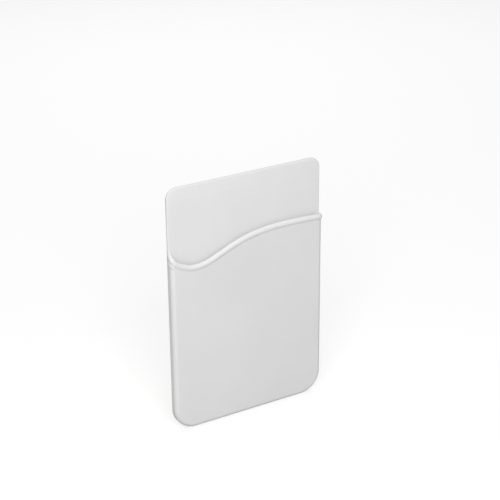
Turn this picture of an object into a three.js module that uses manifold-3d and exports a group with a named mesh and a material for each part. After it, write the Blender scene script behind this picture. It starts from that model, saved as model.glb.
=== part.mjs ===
// Stick-on holder: a soft sleeve moulded in one piece, a thin back sheet that carries a shallow pocket,
// with a die-cut sheet of double-sided adhesive on its back.
// Millimetres. X runs to the right as seen from the front, Z runs up to the pocket's mouth, and the
// front faces -Y. The origin is the centre of the adhesive's outer face.

import * as THREE from 'three';
import { mergeVertices } from 'three/addons/utils/BufferGeometryUtils.js';
import Module from 'manifold-3d';

const wasm = await Module();
wasm.setup();

// Sleeve: the slot that it is moulded round, and the walls about it
const slotWidth = 55;
const slotGap = 1.2;
const sideWall = 1.2;
const floorWall = 1.5;
const frontWall = 0.9;
const backSheet = 0.9;
const sleeveHeight = 87;
const bottomCornerRadius = 7.8;
const topCornerRadius = 3.7;

// Edges: the round of the pocket's soft front edge, the small round on the back sheet's rim, and the
// round inside the slot
const softEdgeRadius = 1.5;
const sheetEdgeRadius = 0.35;
const slotEdgeRadius = 0.4;

// Mouth: the wave that the pocket's mouth follows, as heights above the sleeve's bottom edge and
// distances from its middle. The pulls say how far the curve holds level beside its low and its crest.
const mouthLeftHeight = 65.5;
const mouthLowHeight = 59;
const mouthLowAt = -19.6;
const mouthLowPull = 8.2;
const mouthCrestHeight = 66.7;
const mouthCrestAt = 13.2;
const mouthCrestPull = 19.6;
const mouthRightHeight = 65.6;

// Raised rim along the mouth: its oval section, and how far it stands out of the wall
const rimHeight = 2.15;
const rimDepth = 1.7;
const rimProud = 0.4;

// Adhesive sheet on the back
const adhesiveThickness = 0.3;
const adhesiveMargin = 1.5;

// Fineness of the curved faces
const arcSegments = 12;
const softEdgeSegments = 8;
const smallEdgeSegments = 3;
const mouthSegments = 30;
const rimSides = 20;

// Sizes that follow from the ones above. The last two are for the cuts: how far they run past the
// sleeve, and how much of the soft edge's radius the room above the mouth takes in.
const sleeveWidth = slotWidth + 2 * sideWall;
const sleeveThickness = backSheet + slotGap + frontWall;
const halfWidth = sleeveWidth / 2;
const bottom = -sleeveHeight / 2;
const backPlane = -adhesiveThickness;
const sheetFront = backPlane - backSheet;
const sideDepth = sleeveThickness - softEdgeRadius;
const softEdgeStart = backPlane - sideDepth;
const softEdgeArc = Math.PI / 2 * softEdgeRadius;
const flatHalf = halfWidth - softEdgeRadius;
const mouthEnd = flatHalf + softEdgeArc + sideDepth;
const beyond = 5;
const softEdgeReach = 0.98;

function toSolid(geometry) {
  const bare = geometry.clone();
  bare.deleteAttribute('normal');
  bare.deleteAttribute('uv');
  const merged = mergeVertices(bare);
  return new wasm.Manifold(new wasm.Mesh({
    numProp: 3,
    vertProperties: merged.attributes.position.array,
    triVerts: new Uint32Array(merged.index.array),
  }));
}

function toGeometry(solid) {
  const mesh = solid.getMesh();
  const geometry = new THREE.BufferGeometry();
  geometry.setAttribute('position', new THREE.BufferAttribute(mesh.vertProperties, 3));
  geometry.setIndex(new THREE.BufferAttribute(mesh.triVerts, 1));
  geometry.computeVertexNormals();
  return geometry;
}

// A rounded plate's outline as seen from the front, from its lowest to its highest line
function plateOutline(width, low, high, lowRadius, highRadius) {
  const half = width / 2;
  const outline = new THREE.Shape();
  outline.moveTo(-half + lowRadius, low);
  outline.absarc(half - lowRadius, low + lowRadius, lowRadius, -Math.PI / 2, 0);
  outline.absarc(half - highRadius, high - highRadius, highRadius, 0, Math.PI / 2);
  outline.absarc(-half + highRadius, high - highRadius, highRadius, Math.PI / 2, Math.PI);
  outline.absarc(-half + lowRadius, low + lowRadius, lowRadius, Math.PI, 1.5 * Math.PI);
  return outline;
}

// Everything in front of a plane that is square to Y
function inFrontOf(plane) {
  const size = 2 * (sleeveWidth + sleeveHeight);
  const block = new THREE.BoxGeometry(size, size, size);
  block.translate(0, plane - size / 2, 0);
  return toSolid(block);
}

// A plate that stands on the plane at its back and has its front edge rounded all the way about:
// the front half of an extrusion that is bevelled at both ends
function softPlate(outline, plane, thickness, edgeRadius, edgeSegments) {
  const land = thickness - edgeRadius;
  const plate = new THREE.ExtrudeGeometry(outline, {
    depth: 2 * land,
    curveSegments: arcSegments,
    bevelEnabled: true,
    bevelThickness: edgeRadius,
    bevelSize: edgeRadius,
    bevelOffset: -edgeRadius,
    bevelSegments: edgeSegments,
  });
  plate.translate(0, 0, -land);
  plate.rotateX(Math.PI / 2);
  plate.translate(0, plane, 0);
  return toSolid(plate).intersect(inFrontOf(plane));
}

// A closed solid through rings of equally many points, with a flat face at each end
function solidThrough(rings) {
  const size = rings[0].length;
  const last = size * (rings.length - 1);
  const faces = [];
  for (let start = 0; start < last; start += size) {
    for (let corner = 0; corner < size; corner++) {
      const a = start + corner;
      const b = start + (corner + 1) % size;
      faces.push(a, b, a + size, b, b + size, a + size);
    }
  }
  for (let corner = 1; corner < size - 1; corner++) {
    faces.push(0, corner + 1, corner, last, last + corner, last + corner + 1);
  }
  const geometry = new THREE.BufferGeometry().setFromPoints(rings.flat());
  geometry.setIndex(faces);
  return toSolid(geometry);
}

// The mouth's wave, drawn flat: distance along the wall from the middle of the front, and height.
// At both ends it runs on straight, past the back of the sleeve.
function makeMouthWave() {
  const left = new THREE.Vector2(-mouthEnd, bottom + mouthLeftHeight);
  const low = new THREE.Vector2(mouthLowAt, bottom + mouthLowHeight);
  const crest = new THREE.Vector2(mouthCrestAt, bottom + mouthCrestHeight);
  const right = new THREE.Vector2(mouthEnd, bottom + mouthRightHeight);
  const wave = new THREE.CurvePath();
  wave.add(new THREE.QuadraticBezierCurve(left, new THREE.Vector2((left.x + low.x) / 2, low.y), low));
  wave.add(new THREE.CubicBezierCurve(
    low,
    new THREE.Vector2(low.x + mouthLowPull, low.y),
    new THREE.Vector2(crest.x - mouthCrestPull, crest.y),
    crest,
  ));
  wave.add(new THREE.QuadraticBezierCurve(crest, new THREE.Vector2((crest.x + right.x) / 2, crest.y), right));
  const before = left.clone().addScaledVector(wave.getTangent(0), -rimHeight);
  const after = right.clone().addScaledVector(wave.getTangent(1), rimHeight);
  return [before, ...wave.getPoints(mouthSegments), after];
}

// How far round the pocket's soft side edge a point of the flat wave lies, as an angle
function turnOnWall(along) {
  return Math.min(Math.max(0, Math.abs(along) - flatHalf), softEdgeArc) / softEdgeRadius;
}

// The wall's outward direction there, level
function outwardOnWall(along) {
  const turn = turnOnWall(along);
  return new THREE.Vector3(Math.sign(along) * Math.sin(turn), -Math.cos(turn), 0);
}

// Wraps a point of the flat wave round the pocket's side edges, that far outside its outer face
function wrapOnWall(along, height, outside) {
  const onFlat = Math.sign(along) * Math.min(Math.abs(along), flatHalf);
  const pastEdge = Math.max(0, Math.abs(along) - flatHalf - softEdgeArc);
  return new THREE.Vector3(onFlat, softEdgeStart + pastEdge, height)
    .addScaledVector(outwardOnWall(along), softEdgeRadius + outside);
}

const mouthWave = makeMouthWave();

// The rim: its oval section carried along the mouth, round both side edges and through the back sheet.
// On the straight sides it sinks into the wall, and it is level with it at the back.
function makeRim() {
  const line = mouthWave.map((point) => wrapOnWall(point.x, point.y, 0));
  const rings = mouthWave.map((point, index) => {
    const outward = outwardOnWall(point.x);
    const before = line[Math.max(0, index - 1)];
    const after = line[Math.min(line.length - 1, index + 1)];
    const forward = after.clone().sub(before).normalize();
    const up = forward.cross(outward).normalize();
    const proud = rimProud * THREE.MathUtils.smoothstep(mouthEnd - Math.abs(point.x), 0, sideDepth);
    const ring = [];
    for (let side = 0; side < rimSides; side++) {
      const angle = side / rimSides * 2 * Math.PI;
      ring.push(line[index].clone()
        .addScaledVector(outward, proud - rimDepth / 2 * (1 - Math.cos(angle)))
        .addScaledVector(up, rimHeight / 2 * Math.sin(angle)));
    }
    return ring;
  });
  return solidThrough(rings).intersect(inFrontOf(backPlane));
}

// The room above the mouth: upright strips from well outside the wall to inside the slot, joined
// along the wave
function makeRoomAboveMouth() {
  const high = -bottom + beyond;
  return solidThrough(mouthWave.map((point) => {
    const outer = wrapOnWall(point.x, point.y, beyond);
    const inner = wrapOnWall(point.x, point.y, -softEdgeReach * softEdgeRadius);
    return [outer, inner, inner.clone().setZ(high), outer.clone().setZ(high)];
  }));
}

function makeSleeve() {
  const outline = plateOutline(sleeveWidth, bottom, -bottom, bottomCornerRadius, topCornerRadius);
  const sheet = softPlate(outline, backPlane, backSheet, sheetEdgeRadius, smallEdgeSegments);
  const pocket = softPlate(outline, backPlane, sleeveThickness, softEdgeRadius, softEdgeSegments);
  const slotCorner = bottomCornerRadius - floorWall;
  const slotOutline = plateOutline(slotWidth, bottom + floorWall, -bottom + beyond, slotCorner, slotCorner);
  const slot = softPlate(slotOutline, sheetFront, slotGap, slotEdgeRadius, smallEdgeSegments);
  const open = pocket.subtract(makeRoomAboveMouth());
  return toGeometry(sheet.add(open).add(makeRim()).subtract(slot));
}

function makeAdhesive() {
  const outline = plateOutline(
    sleeveWidth - 2 * adhesiveMargin,
    bottom + adhesiveMargin,
    -bottom - adhesiveMargin,
    bottomCornerRadius - adhesiveMargin,
    topCornerRadius - adhesiveMargin,
  );
  const film = new THREE.ExtrudeGeometry(outline, {
    depth: adhesiveThickness,
    curveSegments: arcSegments,
    bevelEnabled: false,
  });
  film.rotateX(Math.PI / 2);
  return film;
}

const silicone = new THREE.MeshStandardMaterial({ color: 0xdcdcdc, roughness: 0.6, metalness: 0 });
const adhesiveFilm = new THREE.MeshStandardMaterial({ color: 0xe6e3d8, roughness: 0.35, metalness: 0 });

const sleeve = new THREE.Mesh(makeSleeve(), silicone);
sleeve.name = 'pocket_sleeve';

const adhesive = new THREE.Mesh(makeAdhesive(), adhesiveFilm);
adhesive.name = 'adhesive_sheet';

const holder = new THREE.Group();
holder.name = 'stick_on_holder';
holder.add(sleeve, adhesive);

export default holder;
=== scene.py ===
import math

import bmesh
import bpy
from mathutils import Matrix, Vector


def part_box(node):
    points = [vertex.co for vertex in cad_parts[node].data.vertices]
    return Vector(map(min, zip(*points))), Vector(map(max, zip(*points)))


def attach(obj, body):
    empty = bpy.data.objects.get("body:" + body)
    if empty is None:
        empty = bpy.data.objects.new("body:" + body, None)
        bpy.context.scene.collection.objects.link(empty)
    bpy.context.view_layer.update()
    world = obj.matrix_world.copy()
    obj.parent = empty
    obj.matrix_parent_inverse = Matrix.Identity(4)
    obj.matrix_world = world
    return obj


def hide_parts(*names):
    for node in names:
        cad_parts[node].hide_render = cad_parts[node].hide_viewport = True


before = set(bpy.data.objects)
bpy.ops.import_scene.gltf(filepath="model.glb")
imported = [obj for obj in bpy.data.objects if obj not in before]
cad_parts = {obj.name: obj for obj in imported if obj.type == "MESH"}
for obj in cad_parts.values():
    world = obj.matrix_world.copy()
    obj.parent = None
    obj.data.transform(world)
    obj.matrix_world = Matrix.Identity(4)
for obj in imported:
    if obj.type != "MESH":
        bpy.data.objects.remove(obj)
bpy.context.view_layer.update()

MM = 0.001

# Sleeve: the walls about its slot, its corners and its edges
SLEEVE_LOW, SLEEVE_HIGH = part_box("pocket_sleeve")
SLOT_WIDTH = 55.0 * MM
SLOT_GAP = 1.2 * MM
SIDE_WALL = 1.2 * MM
FLOOR_WALL = 1.5 * MM
FRONT_WALL = 0.9 * MM
BACK_SHEET = 0.9 * MM
BOTTOM_CORNER_RADIUS = 7.8 * MM
TOP_CORNER_RADIUS = 3.7 * MM
SOFT_EDGE_RADIUS = 1.5 * MM
SHEET_EDGE_RADIUS = 0.35 * MM
SHEET_BACK_EDGE_RADIUS = 0.12 * MM
SLOT_EDGE_RADIUS = 0.4 * MM

# Mouth wave: heights above the sleeve's bottom edge and distances from its middle
MOUTH_LEFT_HEIGHT = 65.5 * MM
MOUTH_LOW_HEIGHT = 59.0 * MM
MOUTH_LOW_AT = -19.6 * MM
MOUTH_LOW_PULL = 8.2 * MM
MOUTH_CREST_HEIGHT = 66.7 * MM
MOUTH_CREST_AT = 13.2 * MM
MOUTH_CREST_PULL = 19.6 * MM
MOUTH_RIGHT_HEIGHT = 65.9 * MM

# Raised rim: its oval section, how far it stands out of the wall, the small round on its
# inner edge, the fillet that runs out of it down the wall, and how deep it is rooted
RIM_HEIGHT = 2.15 * MM
RIM_DEPTH = 1.7 * MM
RIM_PROUD = 0.36 * MM
RIM_INNER_ROUND = 0.3 * MM
RIM_RUN_OUT = 0.8 * MM
RIM_ROOT = 1.9 * MM

# The small round that die cutting leaves on the adhesive's outer edge
FILM_EDGE_RADIUS = 0.08 * MM

# Finishes: the size of the textures as noise scales per metre, and how deep they are
CLOUD_SCALE = 55.0
GRAIN_SCALE = 5200.0
ORANGE_PEEL_SCALE = 420.0
GLUE_SCALE = 160.0
FIBRE_SCALE = 1800.0
GRAIN_DEPTH = 0.006 * MM
ORANGE_PEEL_DEPTH = 0.012 * MM
FIBRE_DEPTH = 0.01 * MM
GLUE_DEPTH = 0.04 * MM
SILICONE_SCATTER = 1.2 * MM

# Fineness of the curved faces, and the angle above which an edge stays sharp
ARC_STEPS = 40
SOFT_EDGE_STEPS = 20
SMALL_EDGE_STEPS = 6
MOUTH_STEPS = 400
BEAD_STEPS = 28
RUN_OUT_STEPS = 6
SHARP_ANGLE = math.radians(32)

# For the cuts: a small offset that keeps two solids from sharing a plane, how far a cut runs
# past the sleeve, and how much of the soft edge's radius the room above the mouth takes in
SKIN = 0.02 * MM
BEYOND = 5.0 * MM
SOFT_EDGE_REACH = 0.98

BACK_PLANE = SLEEVE_HIGH.y
BOTTOM = SLEEVE_LOW.z
TOP = SLEEVE_HIGH.z
HALF_WIDTH = SLOT_WIDTH / 2 + SIDE_WALL
SHEET_FRONT = BACK_PLANE - BACK_SHEET
SLOT_FRONT = SHEET_FRONT - SLOT_GAP
FRONT_PLANE = SLOT_FRONT - FRONT_WALL
SOFT_EDGE_START = FRONT_PLANE + SOFT_EDGE_RADIUS
SOFT_EDGE_ARC = math.pi / 2 * SOFT_EDGE_RADIUS
SIDE_DEPTH = BACK_PLANE - SOFT_EDGE_START
FLAT_HALF = HALF_WIDTH - SOFT_EDGE_RADIUS
MOUTH_END = FLAT_HALF + SOFT_EDGE_ARC + SIDE_DEPTH


class Signal:
    """A value that varies over a surface. Arithmetic on it adds Math nodes to its network."""

    def __init__(self, network, socket):
        self.network = network
        self.socket = socket

    def math(self, operation, *operands):
        settings = {"operation": operation}
        return self.network.node("ShaderNodeMath", settings, dict(enumerate(operands)))

    def __add__(self, other):
        return self.math("ADD", self, other)

    def __radd__(self, other):
        return self.math("ADD", other, self)

    def __mul__(self, other):
        return self.math("MULTIPLY", self, other)

    def __rmul__(self, other):
        return self.math("MULTIPLY", other, self)


class Network:
    """The nodes of a finish or of the surroundings."""

    def __init__(self, tree):
        self.tree = tree

    def node(self, kind, settings=None, sockets=None, output=0):
        node = self.tree.nodes.new(kind)
        for setting, value in (settings or {}).items():
            setattr(node, setting, value)
        for socket, value in (sockets or {}).items():
            self.feed(node.inputs[socket], value)
        return Signal(self, node.outputs[output])

    def feed(self, socket, value):
        if isinstance(value, Signal):
            self.tree.links.new(value.socket, socket)
        else:
            socket.default_value = value

    def blend(self, amount, colour, other):
        sockets = {"Factor": amount, 6: colour, 7: other}
        return self.node("ShaderNodeMix", {"data_type": "RGBA"}, sockets, output=2)

    def seen_directly(self):
        return self.node("ShaderNodeLightPath", output="Is Camera Ray")


class Finish(Network):
    """A material of this object: its shader, and the nodes that vary over the surface."""

    def __init__(self, name, **constants):
        self.material = bpy.data.materials.new(name)
        self.material.use_nodes = True
        super().__init__(self.material.node_tree)
        self.shader = self.tree.nodes["Principled BSDF"]
        self.paint(**constants)

    def paint(self, **inputs):
        for socket, value in inputs.items():
            self.feed(self.shader.inputs[socket.replace("_", " ")], value)

    def place(self):
        return self.node("ShaderNodeTexCoord", output="Object")

    def noise(self, place, scale, detail=2.0, roughness=0.5):
        sockets = {"Vector": place, "Scale": scale, "Detail": detail, "Roughness": roughness}
        return self.node("ShaderNodeTexNoise", None, sockets)

    def bump(self, height, distance, under=None):
        sockets = {"Height": height, "Distance": distance, "Strength": 1.0}
        if under is not None:
            sockets["Normal"] = under
        return self.node("ShaderNodeBump", None, sockets)


def silicone_finish():
    """Matte white silicone: a fine eroded mould texture, faint cloudiness and almost no gloss."""
    finish = Finish(
        "white_silicone",
        IOR=1.41,
        Specular_IOR_Level=0.2,
        Subsurface_Weight=0.12,
        Subsurface_Radius=(1.0, 0.9, 0.8),
        Subsurface_Scale=SILICONE_SCATTER,
    )
    place = finish.place()
    cloud = finish.noise(place, CLOUD_SCALE, 3.0)
    grain = finish.noise(place, GRAIN_SCALE, 2.0, 0.6)
    orange_peel = finish.noise(place, ORANGE_PEEL_SCALE, 1.0)
    dull_white = (0.675, 0.675, 0.675, 1)
    clean_white = (0.715, 0.715, 0.713, 1)
    finish.paint(
        Base_Color=finish.blend(cloud, dull_white, clean_white),
        Roughness=0.5 + 0.1 * cloud + 0.08 * grain,
        Normal=finish.bump(grain, GRAIN_DEPTH, finish.bump(orange_peel, ORANGE_PEEL_DEPTH)),
    )
    return finish.material


def adhesive_finish():
    """Double-sided adhesive: a pale film with a wavy coat of glue and a fine fibrous carrier."""
    finish = Finish("adhesive_film", IOR=1.47, Coat_Weight=0.25, Coat_Roughness=0.3)
    place = finish.place()
    glue = finish.noise(place, GLUE_SCALE, 4.0, 0.6)
    fibres = finish.noise(place, FIBRE_SCALE, 3.0, 0.7)
    thin_glue = (0.70, 0.68, 0.60, 1)
    thick_glue = (0.78, 0.76, 0.69, 1)
    finish.paint(
        Base_Color=finish.blend(glue, thin_glue, thick_glue),
        Roughness=0.3 + 0.2 * fibres,
        Normal=finish.bump(fibres, FIBRE_DEPTH, finish.bump(glue, GLUE_DEPTH)),
    )
    return finish.material


def quadratic(start, pull, end, t):
    return start * (1 - t) ** 2 + pull * 2 * t * (1 - t) + end * t ** 2


def cubic(start, pull, back_pull, end, t):
    first_half = start * (1 - t) ** 3 + pull * 3 * t * (1 - t) ** 2
    return first_half + back_pull * 3 * t ** 2 * (1 - t) + end * t ** 3


def mouth_wave():
    """Points of the mouth's wave, drawn flat: distance along the wall, and height.

    At both ends it runs on straight, past the back of the sleeve.
    """
    left = Vector((-MOUTH_END, BOTTOM + MOUTH_LEFT_HEIGHT))
    low = Vector((MOUTH_LOW_AT, BOTTOM + MOUTH_LOW_HEIGHT))
    crest = Vector((MOUTH_CREST_AT, BOTTOM + MOUTH_CREST_HEIGHT))
    right = Vector((MOUTH_END, BOTTOM + MOUTH_RIGHT_HEIGHT))
    side_steps = MOUTH_STEPS // 4
    middle_steps = MOUTH_STEPS // 2
    points = []
    for step in range(side_steps):
        pull = Vector(((left.x + low.x) / 2, low.y))
        points.append(quadratic(left, pull, low, step / side_steps))
    for step in range(middle_steps):
        pull = low + Vector((MOUTH_LOW_PULL, 0))
        back_pull = crest - Vector((MOUTH_CREST_PULL, 0))
        points.append(cubic(low, pull, back_pull, crest, step / middle_steps))
    for step in range(side_steps + 1):
        pull = Vector(((crest.x + right.x) / 2, crest.y))
        points.append(quadratic(crest, pull, right, step / side_steps))
    before = points[0] + (points[0] - points[1]).normalized() * RIM_HEIGHT
    after = points[-1] + (points[-1] - points[-2]).normalized() * RIM_HEIGHT
    return [before] + points + [after]


def outward_at(along):
    """The outward direction of the pocket's wall there, level."""
    turn = min(max(0.0, abs(along) - FLAT_HALF), SOFT_EDGE_ARC) / SOFT_EDGE_RADIUS
    return Vector((math.copysign(math.sin(turn), along), -math.cos(turn), 0.0))


def on_wall(along, height, outside):
    """A point of the flat wave wrapped on the pocket, that far outside its outer face."""
    on_flat = math.copysign(min(abs(along), FLAT_HALF), along)
    past_edge = max(0.0, abs(along) - FLAT_HALF - SOFT_EDGE_ARC)
    centre = Vector((on_flat, SOFT_EDGE_START + past_edge, height))
    return centre + outward_at(along) * (SOFT_EDGE_RADIUS + outside)


def new_object(name, shape):
    """Turns a bmesh into an object whose faces point outward."""
    bmesh.ops.recalc_face_normals(shape, faces=shape.faces)
    mesh = bpy.data.meshes.new(name)
    shape.to_mesh(mesh)
    shape.free()
    made = bpy.data.objects.new(name, mesh)
    bpy.context.scene.collection.objects.link(made)
    return made


def loft(name, rings):
    """A closed solid through rings of equally many points, with a flat face at each end."""
    shape = bmesh.new()
    rows = [[shape.verts.new(point) for point in ring] for ring in rings]
    for row, following in zip(rows, rows[1:]):
        for index in range(len(row)):
            shape.faces.new((row[index - 1], row[index], following[index], following[index - 1]))
    shape.faces.new(rows[0])
    shape.faces.new(rows[-1])
    return new_object(name, shape)


def plate_ring(half_width, low, high, low_radius, high_radius, inset, y):
    """One outline of a plate with round corners, drawn in by an inset, at one depth."""
    corners = (
        (half_width - low_radius, low + low_radius, low_radius, -90),
        (half_width - high_radius, high - high_radius, high_radius, 0),
        (-half_width + high_radius, high - high_radius, high_radius, 90),
        (-half_width + low_radius, low + low_radius, low_radius, 180),
    )
    ring = []
    for x, z, radius, start in corners:
        for step in range(ARC_STEPS + 1):
            angle = math.radians(start + 90 * step / ARC_STEPS)
            reach = radius - inset
            ring.append(Vector((x + reach * math.cos(angle), y, z + reach * math.sin(angle))))
    return ring


def round_edge(face, radius, side, steps):
    """Insets and depths of a plate's round edge, out to a face. Side is 1 at the back."""
    edge = []
    for step in range(steps + 1):
        angle = math.pi / 2 * step / steps
        depth = face - side * radius * (1 - math.sin(angle))
        edge.append((radius * (1 - math.cos(angle)), depth))
    return edge


def plate(name, outline, depths):
    return loft(name, [plate_ring(*outline, inset, y) for inset, y in depths])


def back_sheet():
    low_radius = BOTTOM_CORNER_RADIUS - SKIN
    outline = (HALF_WIDTH - SKIN, BOTTOM + SKIN, TOP, low_radius, TOP_CORNER_RADIUS)
    back = round_edge(BACK_PLANE, SHEET_BACK_EDGE_RADIUS, 1, SMALL_EDGE_STEPS)
    front = round_edge(SHEET_FRONT, SHEET_EDGE_RADIUS, -1, SMALL_EDGE_STEPS)
    return plate("back_sheet", outline, back[::-1] + front)


def pocket_block():
    outline = (HALF_WIDTH, BOTTOM, TOP - BEYOND, BOTTOM_CORNER_RADIUS, TOP_CORNER_RADIUS)
    start = BACK_PLANE - SHEET_BACK_EDGE_RADIUS
    edge = round_edge(FRONT_PLANE, SOFT_EDGE_RADIUS, -1, SOFT_EDGE_STEPS)
    return plate("pocket_block", outline, [(0, start)] + edge)


def slot_core():
    radius = BOTTOM_CORNER_RADIUS - FLOOR_WALL
    outline = (HALF_WIDTH - SIDE_WALL, BOTTOM + FLOOR_WALL, TOP + BEYOND, radius, radius)
    edge = round_edge(SLOT_FRONT, SLOT_EDGE_RADIUS, -1, SMALL_EDGE_STEPS)
    return plate("slot_core", outline, [(0, SHEET_FRONT)] + edge)


def room_above_mouth(wave):
    """The room above the mouth: upright strips from outside the wall to inside the slot."""
    rings = []
    for along, height in wave:
        outer = on_wall(along, height, BEYOND)
        inner = on_wall(along, height, -SOFT_EDGE_REACH * SOFT_EDGE_RADIUS)
        inner_top = Vector((inner.x, inner.y, TOP))
        outer_top = Vector((outer.x, outer.y, TOP))
        rings.append([outer, inner, inner_top, outer_top])
    return loft("room_above_mouth", rings)


def rim_section(proud):
    """The rim's section, as distances outward from the wall's face and up from the mouth's line.

    From the root inside the wall it goes up the inner side, over the oval's top, down its
    front, and out along the wall's face in a hollow curve that ends level with it.
    """
    depth = RIM_DEPTH / 2
    rise = RIM_HEIGHT / 2
    middle = proud - depth
    inner = SKIN - FRONT_WALL
    shoulder = math.pi - math.acos((middle - inner - RIM_INNER_ROUND) / depth)
    section = [(inner, -RIM_ROOT), (inner, rise * math.sin(shoulder) - RIM_INNER_ROUND)]
    for step in range(BEAD_STEPS + 1):
        angle = shoulder + (-shoulder - math.pi / 4) * step / BEAD_STEPS
        section.append((middle + depth * math.cos(angle), rise * math.sin(angle)))
    out, height = section[-1]
    for step in range(1, RUN_OUT_STEPS + 1):
        share = step / RUN_OUT_STEPS
        level = out * (1 - share) ** 2 - SKIN * share
        section.append((level, height - RIM_RUN_OUT * share))
    section.append((inner / 2, -RIM_ROOT))
    return section


def raised_rim(wave):
    """The rim's section swept along the mouth, round both side edges and on through the back sheet.

    On the straight sides it sinks into the wall, and it is level with it at the back.
    """
    line = [on_wall(along, height, 0) for along, height in wave]
    rings = []
    for index, (along, height) in enumerate(wave):
        outward = outward_at(along)
        forward = line[min(index + 1, len(line) - 1)] - line[max(index - 1, 0)]
        up = outward.cross(forward).normalized()
        share = min(max(0.0, (MOUTH_END - abs(along)) / SIDE_DEPTH), 1.0)
        proud = RIM_PROUD * share * share * (3 - 2 * share)
        section = rim_section(proud)
        rings.append([line[index] + outward * out + up * rise for out, rise in section])
    rim = loft("raised_rim", rings)
    combine(rim, room_behind(), "DIFFERENCE")
    return rim


def room_behind():
    """A block behind the sleeve that trims whatever runs past its back."""
    near = BACK_PLANE - SKIN
    low, high = BOTTOM - BEYOND, TOP + BEYOND
    outline = (HALF_WIDTH + BEYOND, low, high, BOTTOM_CORNER_RADIUS, TOP_CORNER_RADIUS)
    return plate("room_behind", outline, [(0, near + BEYOND), (0, near)])


def combine(base, other, operation):
    """Joins another solid to a base, or cuts it away."""
    step = base.modifiers.new(operation.lower(), "BOOLEAN")
    step.operation = operation
    step.solver = "MANIFOLD"
    step.object = other
    bpy.context.view_layer.update()
    depsgraph = bpy.context.evaluated_depsgraph_get()
    result = bpy.data.meshes.new_from_object(base.evaluated_get(depsgraph))
    base.modifiers.clear()
    base.data = result
    bpy.data.objects.remove(other)


def pocket_sleeve():
    wave = mouth_wave()
    sleeve = pocket_block()
    combine(sleeve, room_above_mouth(wave), "DIFFERENCE")
    combine(sleeve, back_sheet(), "UNION")
    combine(sleeve, raised_rim(wave), "UNION")
    combine(sleeve, slot_core(), "DIFFERENCE")
    sleeve.name = "moulded_sleeve"
    return sleeve


def dress(piece, material, node):
    piece.data.materials.clear()
    piece.data.materials.append(material)
    for face in piece.data.polygons:
        face.use_smooth = True
        face.material_index = 0
    piece.data.set_sharp_from_angle(angle=SHARP_ANGLE)
    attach(piece, "root")
    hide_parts(node)


def adhesive_sheet():
    low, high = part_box("adhesive_sheet")
    margin = HALF_WIDTH - high.x
    low_radius = BOTTOM_CORNER_RADIUS - margin
    high_radius = TOP_CORNER_RADIUS - margin
    edge = round_edge(high.y, FILM_EDGE_RADIUS, 1, SMALL_EDGE_STEPS)
    outline = (high.x, low.z, high.z, low_radius, high_radius)
    return plate("adhesive_film", outline, [(0, low.y)] + edge)


def grey(level):
    return (level, level, level, 1)


def studio_floor():
    """A pale floor. It glows only where it is seen, so it looks near white and keeps the shadow."""
    reach = 3.0
    shape = bmesh.new()
    corners = ((-reach, -reach), (reach, -reach), (reach, reach), (-reach, reach))
    shape.faces.new([shape.verts.new((x, y, BOTTOM)) for x, y in corners])
    floor = new_object("studio_floor", shape)
    finish = Finish("studio_floor", Roughness=0.9, Emission_Strength=1.0)
    seen = finish.seen_directly()
    finish.paint(
        Base_Color=finish.blend(seen, grey(0.45), grey(0.4)),
        Emission_Color=finish.blend(seen, grey(0), grey(0.6)),
    )
    floor.data.materials.append(finish.material)


def studio_world():
    """White where it is seen, and a soft grey for the light that it sheds."""
    world = bpy.data.worlds.new("studio_world")
    world.use_nodes = True
    network = Network(world.node_tree)
    background = world.node_tree.nodes["Background"]
    colour = network.blend(network.seen_directly(), grey(0.44), grey(1))
    network.feed(background.inputs["Color"], colour)
    network.feed(background.inputs["Strength"], 1.0)
    bpy.context.scene.world = world


def soft_box(name, position, target, width, height, power):
    """A rectangular lamp, in metres and watts, turned to its target."""
    light = bpy.data.lights.new(name, "AREA")
    light.shape = "RECTANGLE"
    light.size = width
    light.size_y = height
    light.energy = power
    lamp = bpy.data.objects.new(name, light)
    bpy.context.scene.collection.objects.link(lamp)
    lamp.location = position
    aim = Vector(target) - Vector(position)
    lamp.rotation_euler = aim.to_track_quat("-Z", "Y").to_euler()


def studio_lights():
    middle = (0, 0, 0)
    soft_box("key_box", (-0.23, -0.42, 0.34), middle, 0.4, 0.3, 3.0)
    soft_box("rear_box", (0.22, 0.45, 0.34), middle, 0.5, 0.4, 0.9)


def photo_camera():
    position = Vector((-218.21, -375.53, 211.74)) * MM
    target = Vector((2.32, 0.02, 15.28)) * MM
    roll = math.radians(-0.5)
    lens = 104.0
    data = bpy.data.cameras.new("photo_camera")
    data.sensor_fit = "HORIZONTAL"
    data.sensor_width = 36.0
    data.lens = lens
    data.clip_start = 0.01
    camera = bpy.data.objects.new("photo_camera", data)
    bpy.context.scene.collection.objects.link(camera)
    forward = (target - position).normalized()
    right = forward.cross(Vector((0, 0, 1))).normalized()
    up = right.cross(forward)
    tilted_right = right * math.cos(roll) + up * math.sin(roll)
    tilted_up = up * math.cos(roll) - right * math.sin(roll)
    turn = Matrix((tilted_right, tilted_up, -forward)).transposed()
    camera.matrix_world = Matrix.Translation(position) @ turn.to_4x4()
    bpy.context.scene.camera = camera


photo_camera()
studio_world()
studio_lights()
studio_floor()
dress(pocket_sleeve(), silicone_finish(), "pocket_sleeve")
dress(adhesive_sheet(), adhesive_finish(), "adhesive_sheet")
bpy.context.scene.view_settings.view_transform = "Standard"
